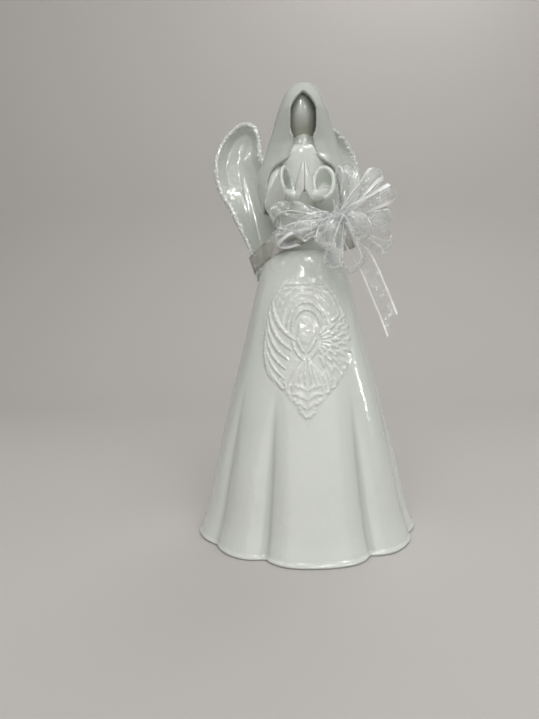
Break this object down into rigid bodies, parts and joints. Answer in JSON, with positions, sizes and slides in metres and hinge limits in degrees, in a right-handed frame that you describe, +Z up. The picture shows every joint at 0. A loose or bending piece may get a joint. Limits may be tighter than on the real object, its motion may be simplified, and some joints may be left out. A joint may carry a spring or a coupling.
{
  "type": "praying angel figurine",
  "caption": "Glazed porcelain standing angel with blank face, hooded veil, praying hands, fluted hollow gown and dished wings, tied with a sheer ribbon bow.",
  "frame": {"origin": "middle of the gown's hem, on the surface that the figurine stands on", "axes": "+Z up along the figure, the front faces -Y, +X is to the right as seen from the front, millimetres in the source"},
  "size_m": [0.1263, 0.128, 0.2539],
  "materials": {
    "porcelain": "white porcelain under a clear gloss glaze with a faint pearly lustre",
    "organza": "sheer white organza ribbon with narrow satin edges"
  },
  "bodies": {
    "root": {"gown_shell": "porcelain", "relief_panel": "porcelain", "bodice": "porcelain", "neck": "porcelain", "head": "porcelain", "veil": "porcelain", "sleeve_left": "porcelain", "hand_left": "porcelain", "sleeve_right": "porcelain", "hand_right": "porcelain", "wing_left": "porcelain", "wing_right": "porcelain", "sash": "organza", "bow_knot": "organza", "bow_loop_1": "organza", "bow_loop_2": "organza", "bow_loop_3": "organza", "bow_loop_4": "organza", "bow_loop_5": "organza", "bow_loop_6": "organza", "bow_loop_7": "organza", "bow_loop_8": "organza", "bow_loop_9": "organza", "bow_loop_10": "organza", "bow_loop_11": "organza", "bow_loop_12": "organza", "ribbon_tail": "organza"}
  },
  "joints": []
}
